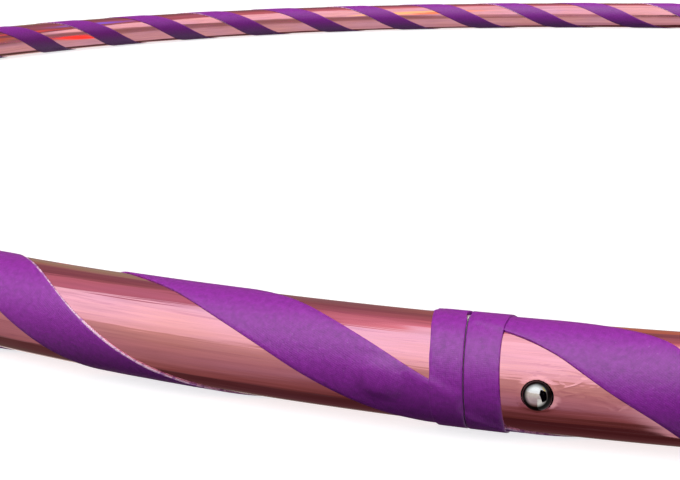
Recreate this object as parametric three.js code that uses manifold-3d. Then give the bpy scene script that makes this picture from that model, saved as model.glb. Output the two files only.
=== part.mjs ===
// Collapsible dance hoop: a plastic tube bent into a ring and closed by a push-button joint.
// Two strips of rose-gold mirror film spiral round the tube, and two strips of cloth grip tape
// cover the film's edges.
// Inside the seam a short insert is riveted to one end of the tube. The other end slides over
// it and is held by a snap button on a V-shaped leaf spring.
// The hoop lies flat, +Z up. The origin is the hoop's centre, on the surface it lies on.
// The snap button points along -Y. Lengths are in millimetres and angles in radians.
import * as THREE from 'three';
import { mergeVertices } from 'three/addons/utils/BufferGeometryUtils.js';
import Module from 'manifold-3d';

const wasm = await Module();
wasm.setup();

// Ring and tube.
const RING_RADIUS = 447.5; // centreline of the tube: a 36 inch hoop
const TUBE_OUTER = 9.525; // 3/4 inch tube
const TUBE_INNER = 7.975;
const SEAM_GAP = 0.3; // between the two ends of the tube
const SKIN_GAP = 0.02; // between layers that are stuck to each other

// Layers on the tube, each a little outside the one before.
const FILM_INNER = TUBE_OUTER + SKIN_GAP;
const FILM_OUTER = FILM_INNER + 0.12;
const TAPE_THICKNESS = 0.3;
const TAPE_INNER = FILM_OUTER + SKIN_GAP;
const TAPE_OUTER = TAPE_INNER + TAPE_THICKNESS;
const BAND_INNER = TAPE_OUTER + SKIN_GAP;
const BAND_OUTER = BAND_INNER + TAPE_THICKNESS;

// Grip tape: one width of tape makes both the spiral strips and, slit along the seam, the bands.
const TAPE_WIDTH = 11.8;
const FILM_WIDTH = 22; // its edges lie under the grip tape
const LEFT_BAND_WIDTH = 5.5;
const RIGHT_BAND_WIDTH = TAPE_WIDTH - SEAM_GAP - LEFT_BAND_WIDTH;

// How the tape was wound by hand: [half turns made, distance along the ring from the seam].
// Both strips follow it, half a turn apart, with the film midway between them. Its pitch
// wanders a little.
const WINDING = [
  [-1, -70], [0.4, 1], [0.6, 15.8], [0.67, 20.5], [1, 38.2], [1.33, 56], [3, 164.5],
  [24, 1499], [32, 2003.5], [43, 2673.5], [43.67, 2712.5], [44.33, 2748], [44.67, 2772.5],
  [45.33, 2815.7], [47, 2924.5],
];

// Joint hardware.
const INSERT_OUTER = TUBE_INNER - 0.0375; // 5/8 inch tube inside the 3/4 inch one
const INSERT_INNER = INSERT_OUTER - 1.55;
const INSERT_HALF_LENGTH = 50;
const BUTTON_FROM_SEAM = 12.6;
const BUTTON_RADIUS = 2.6;
const BUTTON_HOLE_RADIUS = 2.85;
const BUTTON_TOP = TUBE_OUTER + 2.1;
const RIVET_FROM_SEAM = 14.1;
const RIVET_HOLE_RADIUS = 1.3;

const SECTION_SIDES = 12; // a flat side faces outwards, up, inwards and down
const SIDE_ANGLE = (2 * Math.PI) / SECTION_SIDES;
const HALF_TURN = SECTION_SIDES / 2; // in corners
const CORNER_SCALE = 1 / Math.cos(SIDE_ANGLE / 2); // flats, not corners, stand at the radius
const CUTTER_SIDES = 24;
const CUTTER_FOOT = 1; // cutting shapes reach from just off the tube's centreline
const CUTTER_HEAD = 20; // to well outside it
const MERGE_DISTANCE = 1e-4;

// ---------------------------------------------------------------------------------------------
// The ring as a chain of straight lengths between stations. A place on it is (turn, corner,
// radius): turn is the angle round the ring from the seam, corner counts the section's corners
// and may be a fraction, and radius is the distance of the section's flats from the centreline.
// Every layer uses the same stations and section, so the layers' facets are parallel.

const buttonTurn = BUTTON_FROM_SEAM / RING_RADIUS;
const rivetTurn = RIVET_FROM_SEAM / RING_RADIUS;
const seamEnd = SEAM_GAP / 2 / RING_RADIUS;
const seamAngle = -Math.PI / 2 - buttonTurn; // puts the button exactly at -Y
const fullTurn = 2 * Math.PI;
const STATIONS_PER_QUARTER = 10;

function evenSteps(from, to, count) {
  return Array.from({ length: count }, (_, i) => from + ((to - from) * i) / count);
}

function makeStations() {
  const afterButton = 2 * buttonTurn - seamEnd; // the button is in the middle of its length
  const beforeRivet = fullTurn - (2 * rivetTurn - seamEnd); // and so is the rivet
  const quarters = [0, Math.PI / 2, Math.PI].map((angle) => angle - seamAngle);
  const knots = [afterButton, ...quarters, beforeRivet];
  const stations = [seamEnd];
  for (let i = 0; i + 1 < knots.length; i++) {
    stations.push(...evenSteps(knots[i], knots[i + 1], STATIONS_PER_QUARTER));
  }
  stations.push(beforeRivet, fullTurn - seamEnd);
  return stations;
}

const stations = makeStations();
const lastStation = stations[stations.length - 1];

function sectionCorner(index) {
  const angle = (index - 0.5) * SIDE_ANGLE;
  return new THREE.Vector2(Math.cos(angle), Math.sin(angle)).multiplyScalar(CORNER_SCALE);
}

function sectionPoint(corner, radius) {
  const index = Math.floor(corner);
  const point = sectionCorner(index).lerp(sectionCorner(index + 1), corner - index);
  return point.multiplyScalar(radius);
}

function stationPoint(turn, section) {
  const angle = seamAngle + turn;
  const reach = RING_RADIUS + section.x;
  return new THREE.Vector3(reach * Math.cos(angle), reach * Math.sin(angle), section.y);
}

function ringPoint(turn, corner, radius) {
  const section = sectionPoint(corner, radius);
  const wrapped = ((turn % fullTurn) + fullTurn) % fullTurn;
  let next = stations.findIndex((station) => station >= wrapped);
  let after = stations[next];
  let before = stations[next - 1];
  if (next === 0) before = lastStation - fullTurn;
  if (next === -1) {
    before = lastStation;
    after = stations[0] + fullTurn;
  }
  const share = (wrapped - before) / (after - before);
  return stationPoint(before, section).lerp(stationPoint(after, section), share);
}

// ---------------------------------------------------------------------------------------------
// Geometry from lists of corners.

function indexedGeometry(points, triangles) {
  const geometry = new THREE.BufferGeometry();
  geometry.setAttribute('position', new THREE.Float32BufferAttribute(points.flat(), 3));
  geometry.setIndex(triangles.flat());
  return geometry;
}

// A hollow length of the ring from one turn to another.
function sleeveGeometry(from, to, innerRadius, outerRadius) {
  const inside = [-fullTurn, 0, fullTurn]
    .flatMap((shift) => stations.map((station) => station + shift))
    .filter((station) => station > from + seamEnd / 2 && station < to - seamEnd / 2);
  const turns = [from, ...inside, to];
  const points = [];
  const triangles = [];
  const vertex = (ring, layer, side) => (ring * 2 + layer) * SECTION_SIDES + (side % SECTION_SIDES);
  const quad = (a, b, c, d) => triangles.push([a, c, b], [a, d, c]);
  for (const turn of turns) {
    for (const radius of [innerRadius, outerRadius]) {
      for (let side = 0; side < SECTION_SIDES; side++) {
        points.push(ringPoint(turn, side, radius).toArray());
      }
    }
  }
  const last = turns.length - 1;
  for (let side = 0; side < SECTION_SIDES; side++) {
    for (let ring = 0; ring < last; ring++) {
      quad(vertex(ring, 1, side), vertex(ring, 1, side + 1),
        vertex(ring + 1, 1, side + 1), vertex(ring + 1, 1, side));
      quad(vertex(ring, 0, side + 1), vertex(ring, 0, side),
        vertex(ring + 1, 0, side), vertex(ring + 1, 0, side + 1));
    }
    quad(vertex(0, 0, side), vertex(0, 0, side + 1), vertex(0, 1, side + 1), vertex(0, 1, side));
    quad(vertex(last, 1, side), vertex(last, 1, side + 1),
      vertex(last, 0, side + 1), vertex(last, 0, side));
  }
  return indexedGeometry(points, triangles);
}

// The distance along the ring after so many half turns: a smooth curve through WINDING.
function windingDistance(halfTurns) {
  const slope = (i) => {
    const before = WINDING[Math.max(i - 1, 0)];
    const after = WINDING[Math.min(i + 1, WINDING.length - 1)];
    return (after[1] - before[1]) / (after[0] - before[0]);
  };
  const found = WINDING.findIndex(([count]) => count > halfTurns);
  const i = found === -1 ? WINDING.length - 2 : Math.max(found - 1, 0);
  const [start, startDistance] = WINDING[i];
  const [end, endDistance] = WINDING[i + 1];
  const span = end - start;
  const t = (halfTurns - start) / span;
  return (
    (2 * t ** 3 - 3 * t ** 2 + 1) * startDistance +
    (t ** 3 - 2 * t ** 2 + t) * span * slope(i) +
    (3 * t ** 2 - 2 * t ** 3) * endDistance +
    (t ** 3 - t ** 2) * span * slope(i + 1)
  );
}

const SNAP = 0.4 / RING_RADIUS; // a tape edge this near a station is moved onto it

function snapToStation(turn) {
  const near = stations.find((station) => Math.abs(station - turn) < SNAP);
  return near ?? turn;
}

// Both edges of a strip where it crosses one corner line of the section, as turns.
function stripEdges(halfTurns, layer) {
  const step = 0.01;
  const rise = windingDistance(halfTurns + step) - windingDistance(halfTurns - step);
  const perRadian = rise / (2 * step * Math.PI);
  const halfWidth = (layer.width / 2) * Math.hypot(1, perRadian / layer.outer);
  const middle = windingDistance(halfTurns);
  return [middle - halfWidth, middle + halfWidth].map((d) => snapToStation(d / RING_RADIUS));
}

// Cuts a convex polygon of [turn, corner] points at one turn and keeps one side.
function clipAtTurn(polygon, turn, keepAbove) {
  const side = (point) => (keepAbove ? point[0] - turn : turn - point[0]);
  const kept = [];
  polygon.forEach((point, i) => {
    const next = polygon[(i + 1) % polygon.length];
    const here = side(point);
    const there = side(next);
    if (here >= 0) kept.push(point);
    if (here * there < 0) {
      const share = here / (here - there);
      kept.push([turn, point[1] + share * (next[1] - point[1])]);
    }
  });
  return kept;
}

// A strip laid flat on the ring, cut along every station and corner line. `ahead` is how many
// half turns the strip is ahead of the first strip of grip tape.
function stripPieces(ahead, layer) {
  const outwardCorner = 0.5; // the section's corner count at its outward flat
  const countAt = (corner) => (outwardCorner - corner) / HALF_TURN + ahead;
  const lastCount = WINDING[WINDING.length - 1][0];
  const pieces = [];
  let corner = Math.floor(outwardCorner + (ahead - WINDING[0][0]) * HALF_TURN);
  for (; countAt(corner - 1) <= lastCount; corner--) {
    const [left, right] = stripEdges(countAt(corner), layer);
    const [nextLeft, nextRight] = stripEdges(countAt(corner - 1), layer);
    const outline = [[left, corner], [nextLeft, corner - 1], [nextRight, corner - 1], [right, corner]];
    for (let i = 0; i + 1 < stations.length; i++) {
      const cut = clipAtTurn(clipAtTurn(outline, stations[i], true), stations[i + 1], false);
      const turns = cut.map((point) => point[0]);
      if (cut.length > 2 && Math.max(...turns) - Math.min(...turns) > SNAP / 4) pieces.push(cut);
    }
  }
  return pieces;
}

// A strip as one closed solid: two skins, and a wall along every free edge.
function stripGeometry(ahead, layer) {
  const points = [];
  const numbers = new Map();
  const vertex = ([turn, corner], radius) => {
    const key = [turn.toFixed(7), corner.toFixed(5), radius].join(' ');
    if (!numbers.has(key)) {
      numbers.set(key, points.length);
      points.push(ringPoint(turn, corner, radius).toArray());
    }
    return numbers.get(key);
  };
  const triangles = [];
  const edges = new Map();
  for (const piece of stripPieces(ahead, layer)) {
    const outer = piece.map((point) => vertex(point, layer.outer));
    const inner = piece.map((point) => vertex(point, layer.inner));
    for (let i = 1; i + 1 < piece.length; i++) {
      triangles.push([outer[0], outer[i], outer[i + 1]], [inner[0], inner[i + 1], inner[i]]);
    }
    piece.forEach((_, i) => {
      const next = (i + 1) % piece.length;
      const shared = `${outer[next]} ${outer[i]}`;
      if (edges.has(shared)) edges.delete(shared);
      else edges.set(`${outer[i]} ${outer[next]}`, [outer[i], outer[next], inner[i], inner[next]]);
    });
  }
  for (const [outerA, outerB, innerA, innerB] of edges.values()) {
    triangles.push([outerA, innerB, outerB], [outerA, innerA, innerB]);
  }
  return indexedGeometry(points, triangles);
}

// ---------------------------------------------------------------------------------------------
// Solids that are turned about the axis of the button or the rivet. Heights are distances
// from the tube's centreline, measured outwards.

function turnedGeometry(profile, sides = CUTTER_SIDES) {
  return new THREE.LatheGeometry(profile.map(([r, h]) => new THREE.Vector2(r, h)), sides);
}

function arcProfile(radius, from, top, steps) {
  // A quarter of an ellipse from the rim at height `from` to the axis at height `top`.
  return Array.from({ length: steps + 1 }, (_, i) => {
    const angle = (i / steps) * (Math.PI / 2);
    const r = i === steps ? 0 : radius * Math.cos(angle);
    return [r, from + (top - from) * Math.sin(angle)];
  });
}

// A group in the middle of a straight length of the tube: its +Y axis points outwards and its
// +X axis along the tube, the way that turns increase.
function outwardFrame(turn, halfSpan) {
  const frame = new THREE.Group();
  const angle = seamAngle + turn;
  const reach = RING_RADIUS * Math.cos(halfSpan);
  frame.position.set(reach * Math.cos(angle), reach * Math.sin(angle), 0);
  frame.rotation.set(Math.PI, 0, angle + Math.PI / 2, 'ZYX');
  return frame;
}

const buttonFrame = outwardFrame(buttonTurn, buttonTurn - seamEnd);
const rivetFrame = outwardFrame(-rivetTurn, rivetTurn - seamEnd);

function inFrame(geometry, frame) {
  frame.updateMatrix();
  return geometry.clone().applyMatrix4(frame.matrix);
}

// Cutting and joining.
function toSolid(geometry) {
  const bare = geometry.clone();
  bare.deleteAttribute('normal');
  bare.deleteAttribute('uv');
  const merged = mergeVertices(bare, MERGE_DISTANCE);
  return new wasm.Manifold(new wasm.Mesh({
    numProp: 3,
    vertProperties: Float32Array.from(merged.attributes.position.array),
    triVerts: Uint32Array.from(merged.index.array),
  }));
}

function toGeometry(solid) {
  const mesh = solid.getMesh();
  const geometry = new THREE.BufferGeometry();
  geometry.setAttribute('position', new THREE.BufferAttribute(mesh.vertProperties, 3));
  geometry.setIndex(new THREE.BufferAttribute(mesh.triVerts, 1));
  return geometry;
}

function drill(radius) {
  return turnedGeometry([
    [0, CUTTER_FOOT], [radius, CUTTER_FOOT], [radius, CUTTER_HEAD], [0, CUTTER_HEAD],
  ]);
}

function hole(radius, frame) {
  return toSolid(inFrame(drill(radius), frame));
}

function withHoles(geometry, holes) {
  return toGeometry(holes.reduce((solid, cut) => solid.subtract(cut), toSolid(geometry)));
}

const buttonHole = hole(BUTTON_HOLE_RADIUS, buttonFrame);
const rivetHole = hole(RIVET_HOLE_RADIUS, rivetFrame);

// ---------------------------------------------------------------------------------------------
// Rivet: a blind rivet through the film, the tube and the insert, with its broken-off mandrel.
const RIVET_BORE = 0.72;
const RIVET_SHANK = 1.2; // a 3/32 inch rivet
const RIVET_FLANGE = 2.4;
const RIVET_FLANGE_HEIGHT = 0.65;
const RIVET_EDGE_HEIGHT = 0.25;
const RIVET_SEAT = FILM_OUTER + 0.05;
const RIVET_TOP = RIVET_SEAT + RIVET_FLANGE_HEIGHT;
const RIVET_TAIL = INSERT_INNER - 0.1; // where the set tail begins to bulge
const RIVET_TAIL_RADIUS = 1.75;
const RIVET_END = 5.2;

function rivetBodyGeometry() {
  return turnedGeometry([
    [RIVET_BORE, RIVET_END], [RIVET_TAIL_RADIUS - 0.3, RIVET_END],
    [RIVET_TAIL_RADIUS, RIVET_END + 0.3], [RIVET_TAIL_RADIUS, RIVET_TAIL - 0.4],
    [RIVET_SHANK, RIVET_TAIL], [RIVET_SHANK, RIVET_SEAT],
    [RIVET_FLANGE, RIVET_SEAT], [RIVET_FLANGE, RIVET_SEAT + RIVET_EDGE_HEIGHT],
    [RIVET_FLANGE - 0.5, RIVET_TOP - 0.12], [RIVET_BORE + 0.5, RIVET_TOP],
    [RIVET_BORE, RIVET_TOP], [RIVET_BORE, RIVET_END],
  ]);
}

function rivetMandrelGeometry() {
  const stem = RIVET_BORE - 0.06;
  const head = RIVET_TAIL_RADIUS - 0.5;
  return turnedGeometry([
    [0, RIVET_END - 1], [head - 0.4, RIVET_END - 0.9], [head, RIVET_END - 0.6],
    [head, RIVET_END - 0.3], [stem, RIVET_END - 0.05], [stem, RIVET_TOP - 0.3],
    [0, RIVET_TOP - 0.2],
  ]);
}

// Where a strip of tape crosses the rivet's head it rises over it.
const BUMP_RADIUS = 3.4;
const BUMP_CLEARANCE = 0.06;

function tapeOverRivet(geometry) {
  const hollowTop = RIVET_TOP + BUMP_CLEARANCE;
  const top = hollowTop + TAPE_THICKNESS;
  const bump = turnedGeometry([
    [0, CUTTER_FOOT], [BUMP_RADIUS, CUTTER_FOOT], [BUMP_RADIUS, TAPE_OUTER - 0.1],
    [BUMP_RADIUS - 0.4, TAPE_OUTER + 0.3], [BUMP_RADIUS - 1, top - 0.1],
    [BUMP_RADIUS - 1.8, top], [0, top],
  ]);
  const hollowRadius = RIVET_FLANGE + 0.1;
  const hollow = turnedGeometry([
    [0, CUTTER_FOOT], [hollowRadius, CUTTER_FOOT],
    [hollowRadius, RIVET_SEAT + RIVET_EDGE_HEIGHT + BUMP_CLEARANCE],
    [RIVET_FLANGE - 0.44, hollowTop - 0.12], [RIVET_BORE + 0.5, hollowTop], [0, hollowTop],
  ]);
  const underTape = sleeveGeometry(-2 * rivetTurn + seamEnd, -seamEnd, CUTTER_FOOT, TAPE_INNER);
  const raised = toSolid(inFrame(bump, rivetFrame)).subtract(toSolid(underTape));
  const solid = toSolid(geometry).add(raised).subtract(toSolid(inFrame(hollow, rivetFrame)));
  return toGeometry(solid);
}

// ---------------------------------------------------------------------------------------------
// Snap button and its leaf spring.
const LEAF_THICKNESS = 0.5;
const LEAF_WIDTH = 6.0;
const LEAF_OUTSIDE = 5.45; // outer face of a leg, where its long edges nearly touch the insert
const LEAF_HOLE_RADIUS = 1.4;
const LEAF_END = -5.2; // free end of each leg, beyond the button
const LEAF_FLAT_END = 5; // up to here a leg runs straight along the tube
const LEAF_KNEE = 2; // length over which it starts to lean in
const LEAF_BEND_AT = 23;
const LEAF_BEND_RADIUS = 1.9;
const LEAF_BEND_HALF_ANGLE = Math.PI * 0.45;
const LEAF_BEND_STEPS = 6;
const BUTTON_NECK = 1.3;

function snapButtonGeometry() {
  const seat = LEAF_OUTSIDE + 0.05;
  const underLeaf = LEAF_OUTSIDE - LEAF_THICKNESS - 0.05;
  const shoulder = BUTTON_TOP - 1.9;
  return turnedGeometry([
    [0, underLeaf - 0.5], [1.6, underLeaf - 0.5], [2.0, underLeaf - 0.3], [2.0, underLeaf],
    [BUTTON_NECK, underLeaf], [BUTTON_NECK, seat], [BUTTON_RADIUS, seat],
    ...arcProfile(BUTTON_RADIUS, shoulder, BUTTON_TOP, 6),
  ]);
}

// The outline of a strip of even thickness along a path of points.
function ribbonShape(path, thickness) {
  const offsets = path.map((point, i) => {
    const before = path[Math.max(i - 1, 0)];
    const after = path[Math.min(i + 1, path.length - 1)];
    const along = after.clone().sub(before).normalize();
    return new THREE.Vector2(-along.y, along.x).multiplyScalar(thickness / 2);
  });
  const left = path.map((point, i) => point.clone().add(offsets[i]));
  const right = path.map((point, i) => point.clone().sub(offsets[i]));
  return new THREE.Shape([...left, ...right.reverse()]);
}

function leafSpringGeometry() {
  const middle = LEAF_OUTSIDE - LEAF_THICKNESS / 2;
  const leg = [
    [LEAF_END, middle], [LEAF_FLAT_END, middle], [LEAF_FLAT_END + LEAF_KNEE, middle - 0.25],
    [LEAF_BEND_AT - 1, LEAF_BEND_RADIUS + 0.15],
  ];
  const bend = evenSteps(LEAF_BEND_HALF_ANGLE, -LEAF_BEND_HALF_ANGLE, LEAF_BEND_STEPS)
    .map((angle) => [
      LEAF_BEND_AT + LEAF_BEND_RADIUS * Math.cos(angle), LEAF_BEND_RADIUS * Math.sin(angle),
    ]);
  const mirrored = leg.map(([along, height]) => [along, -height]).reverse();
  const path = [...leg, ...bend, ...mirrored].map(([x, y]) => new THREE.Vector2(x, y));
  const shape = ribbonShape(path, LEAF_THICKNESS);
  const strip = new THREE.ExtrudeGeometry(shape, { depth: LEAF_WIDTH, bevelEnabled: false });
  strip.translate(0, 0, -LEAF_WIDTH / 2);
  return toGeometry(toSolid(strip).subtract(toSolid(drill(LEAF_HOLE_RADIUS))));
}

// ---------------------------------------------------------------------------------------------
// Materials and assembly.
const materials = {
  tube: new THREE.MeshStandardMaterial({ color: 0xe8e4e2, roughness: 0.35, metalness: 0 }),
  film: new THREE.MeshStandardMaterial({ color: 0xd98a86, roughness: 0.12, metalness: 1 }),
  tape: new THREE.MeshStandardMaterial({ color: 0x7a2a90, roughness: 0.85, metalness: 0 }),
  insert: new THREE.MeshStandardMaterial({ color: 0xd9d6d2, roughness: 0.45, metalness: 0 }),
  button: new THREE.MeshStandardMaterial({ color: 0xcfd3d6, roughness: 0.08, metalness: 1 }),
  spring: new THREE.MeshStandardMaterial({ color: 0x9a9ea2, roughness: 0.3, metalness: 1 }),
  rivet: new THREE.MeshStandardMaterial({ color: 0xc4c7ca, roughness: 0.35, metalness: 1 }),
};

const hoop = new THREE.Group();
hoop.position.z = BAND_OUTER; // the seam bands are the lowest part, and they touch z = 0

function place(name, geometry, material, parent = hoop) {
  const mesh = new THREE.Mesh(geometry, material);
  mesh.name = name;
  parent.add(mesh);
}

function makeTube() {
  const wall = sleeveGeometry(seamEnd, fullTurn - seamEnd, TUBE_INNER, TUBE_OUTER);
  place('hoop_tube', withHoles(wall, [buttonHole, rivetHole]), materials.tube);
}

function makeFilm() {
  const layer = { inner: FILM_INNER, outer: FILM_OUTER, width: FILM_WIDTH };
  const holes = [buttonHole, rivetHole];
  place('mirror_film_strip_a', withHoles(stripGeometry(0.5, layer), holes), materials.film);
  place('mirror_film_strip_b', withHoles(stripGeometry(1.5, layer), holes), materials.film);
}

function makeGripTape() {
  const layer = { inner: TAPE_INNER, outer: TAPE_OUTER, width: TAPE_WIDTH };
  place('grip_tape_strip_a', stripGeometry(0, layer), materials.tape);
  place('grip_tape_strip_b', tapeOverRivet(stripGeometry(1, layer)), materials.tape);
}

function makeSeamBands() {
  const left = sleeveGeometry(-seamEnd - LEFT_BAND_WIDTH / RING_RADIUS, -seamEnd, BAND_INNER, BAND_OUTER);
  const right = sleeveGeometry(seamEnd, seamEnd + RIGHT_BAND_WIDTH / RING_RADIUS, BAND_INNER, BAND_OUTER);
  place('seam_band_left', left, materials.tape);
  place('seam_band_right', right, materials.tape);
}

function makeInsert() {
  const half = INSERT_HALF_LENGTH / RING_RADIUS;
  const wall = sleeveGeometry(-half, half, INSERT_INNER, INSERT_OUTER);
  place('connector_insert', withHoles(wall, [buttonHole, rivetHole]), materials.insert);
}

function makeSnapButton() {
  hoop.add(buttonFrame);
  place('snap_button', snapButtonGeometry(), materials.button, buttonFrame);
  place('button_spring', leafSpringGeometry(), materials.spring, buttonFrame);
}

function makeRivet() {
  hoop.add(rivetFrame);
  place('rivet_body', rivetBodyGeometry(), materials.rivet, rivetFrame);
  place('rivet_mandrel', rivetMandrelGeometry(), materials.spring, rivetFrame);
}

makeTube();
makeFilm();
makeGripTape();
makeSeamBands();
makeInsert();
makeSnapButton();
makeRivet();

export default hoop;
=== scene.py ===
import math

import bpy
import numpy as np
from mathutils import Matrix, Vector


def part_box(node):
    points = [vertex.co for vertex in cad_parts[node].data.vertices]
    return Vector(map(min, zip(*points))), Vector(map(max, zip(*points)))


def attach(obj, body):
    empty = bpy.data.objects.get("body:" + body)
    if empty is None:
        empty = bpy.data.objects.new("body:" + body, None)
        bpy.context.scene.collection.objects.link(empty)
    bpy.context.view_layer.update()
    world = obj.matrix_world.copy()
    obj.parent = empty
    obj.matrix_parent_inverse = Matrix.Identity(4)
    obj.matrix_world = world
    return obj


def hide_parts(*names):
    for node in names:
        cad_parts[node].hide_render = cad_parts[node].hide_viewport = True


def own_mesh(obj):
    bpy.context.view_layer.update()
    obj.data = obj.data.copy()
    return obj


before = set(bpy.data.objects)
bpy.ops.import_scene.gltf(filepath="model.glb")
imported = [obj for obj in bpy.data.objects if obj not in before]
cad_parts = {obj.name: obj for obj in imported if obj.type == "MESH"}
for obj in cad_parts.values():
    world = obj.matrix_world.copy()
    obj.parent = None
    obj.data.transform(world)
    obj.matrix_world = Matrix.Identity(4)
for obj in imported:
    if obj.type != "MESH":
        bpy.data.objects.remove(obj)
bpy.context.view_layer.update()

MM = 0.001
HALF_TURN = math.pi


# -------------------------------------------------------------------------------------------
# Sizes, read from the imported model.

def half_height(node):
    low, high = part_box(node)
    return (high.z - low.z) / 2


def direction_of(node):
    """The angle round the ring's axis at which a small node lies."""
    low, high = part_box(node)
    middle = (low + high) / 2
    return math.atan2(middle.y, middle.x)


TUBE_OUTER = half_height("hoop_tube")
FILM_OUTER = half_height("mirror_film_strip_a")
TAPE_OUTER = half_height("grip_tape_strip_a")
BAND_OUTER = half_height("seam_band_left")
INSERT_OUTER = half_height("connector_insert")
RING_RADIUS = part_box("hoop_tube")[1].x - TUBE_OUTER
RING_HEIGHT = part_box("hoop_tube")[0].z + TUBE_OUTER
RING_LENGTH = 2 * math.pi * RING_RADIUS

FIT_GAP = 0.0375 * MM
TUBE_INNER = INSERT_OUTER + FIT_GAP
INSERT_INNER = INSERT_OUTER - 1.55 * MM
INSERT_HALF_LENGTH = 50 * MM
FILM_THICKNESS = 0.12 * MM
TAPE_THICKNESS = 0.3 * MM
TAPE_WIDTH = 11.8 * MM
FILM_WIDTH = 22 * MM
SEAM_GAP = 0.3 * MM
BUTTON_HOLE_RADIUS = 2.85 * MM
FILM_HOLE_RADIUS = 2.72 * MM  # the film's edge reaches in a little over the tube's hole
RIVET_HOLE_RADIUS = 1.3 * MM

seam_middle = (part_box("seam_band_left")[1].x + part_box("seam_band_right")[0].x) / 2
SEAM_ANGLE = -math.pi / 2 + seam_middle / RING_RADIUS
BUTTON_ALONG = (direction_of("snap_button") - SEAM_ANGLE) * RING_RADIUS
RIVET_ALONG = (direction_of("rivet_body") - SEAM_ANGLE) * RING_RADIUS


# -------------------------------------------------------------------------------------------
# The winding: [half turns made, distance along the ring from the seam in mm], the same rows as in
# the CAD part. They were rounded from where the real strips lie.
WINDING = np.array([
    [-1, -70], [0.4, 1], [0.6, 15.8], [0.67, 20.5], [1, 38.2], [1.33, 56], [3, 164.5],
    [24, 1499], [32, 2003.5], [43, 2673.5], [43.67, 2712.5], [44.33, 2748], [44.67, 2772.5],
    [45.33, 2815.7], [47, 2924.5],
])
WINDING_COUNTS = WINDING[:, 0]
WINDING_ALONG = WINDING[:, 1] * MM


def winding_along(count):
    """The place along the ring after so many half turns: a smooth curve through WINDING."""
    last = len(WINDING) - 1
    before = np.maximum(np.arange(last + 1) - 1, 0)
    after = np.minimum(np.arange(last + 1) + 1, last)
    slopes = (WINDING_ALONG[after] - WINDING_ALONG[before])
    slopes = slopes / (WINDING_COUNTS[after] - WINDING_COUNTS[before])
    i = np.clip(np.searchsorted(WINDING_COUNTS, count, side="right") - 1, 0, last - 1)
    span = WINDING_COUNTS[i + 1] - WINDING_COUNTS[i]
    t = (count - WINDING_COUNTS[i]) / span
    return (
        (2 * t**3 - 3 * t**2 + 1) * WINDING_ALONG[i]
        + (t**3 - 2 * t**2 + t) * span * slopes[i]
        + (3 * t**2 - 2 * t**3) * WINDING_ALONG[i + 1]
        + (t**3 - t**2) * span * slopes[i + 1]
    )


def rise_per_radian(count, path=winding_along):
    step = 0.12
    return (path(count + step) - path(count - step)) / (2 * step * HALF_TURN)


STRAY = 1.5 * MM
STRAY_RIGHT, STRAY_RIGHT_REACH = 0.64, 0.14  # half turns
STRAY_LEFT, STRAY_LEFT_REACH = 1.22, 0.16


def straying_along(count):
    """The winding of grip strip b, which was laid a little steeper beside the button."""
    right = np.exp(-((count - STRAY_RIGHT) / STRAY_RIGHT_REACH) ** 2)
    left = np.exp(-((count - STRAY_LEFT) / STRAY_LEFT_REACH) ** 2)
    return winding_along(count) + STRAY * (right - left)


def ripple(seed, terms, low, high):
    """A smooth uneven curve of height about 1: a seeded sum of sines, frequencies per metre."""
    random = np.random.default_rng(seed)
    rates = random.uniform(low, high, terms)
    phases = random.uniform(0, 2 * math.pi, terms)

    def height(distance):
        waves = [np.sin(2 * math.pi * r * distance + p) for r, p in zip(rates, phases)]
        return sum(waves) / math.sqrt(terms)

    return height


def smooth_step(value):
    t = np.clip(value, 0, 1)
    return t * t * (3 - 2 * t)


def harmonics(angle, constant, cosine, sine, cosine_twice, sine_twice):
    """A curve round the tube, in mm. seam_line and band_edge give it a least-squares fit's numbers."""
    once_round = cosine * np.cos(angle) + sine * np.sin(angle)
    twice_round = cosine_twice * np.cos(2 * angle) + sine_twice * np.sin(2 * angle)
    return (constant + once_round + twice_round) * MM


def seam_line(angle):
    """Where the tube's ends meet. The saw cut was a little out of square."""
    return harmonics(angle, -0.34, 0.43, -0.54, 0.22, 0.15)


SKEW_REACH = 8.5 * MM


def skewed(along, angle):
    """Moves what lies near the seam along with the slanted cut."""
    from_seam = np.minimum(np.abs(along), np.abs(RING_LENGTH - along))
    return along + seam_line(angle) * (1 - smooth_step(from_seam / SKEW_REACH))


def nearest_half_turn(angle):
    """The same angle, between minus and plus half a turn."""
    return (angle + math.pi) % (2 * math.pi) - math.pi


SEAM_TOP = math.radians(95)
SEAM_TOP_REACH = 0.2  # radians
TAPE_DRAWN_BACK = 0.4 * MM


def seam_opening(angle):
    """1 on top of the seam, where the tapes have drawn back from it, and 0 elsewhere."""
    return np.exp(-((nearest_half_turn(angle) - SEAM_TOP) / SEAM_TOP_REACH) ** 2)


def ring_points(along, angle, radius):
    """Places on the ring, in the shared frame, from arrays of the same shape."""
    turn = SEAM_ANGLE + along / RING_RADIUS
    reach = RING_RADIUS + radius * np.cos(angle)
    height = RING_HEIGHT + radius * np.sin(angle)
    return np.stack([reach * np.cos(turn), reach * np.sin(turn), height], axis=-1)


# -------------------------------------------------------------------------------------------
# Layers: open sheets on the unrolled tube, thickened into closed solids.

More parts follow.
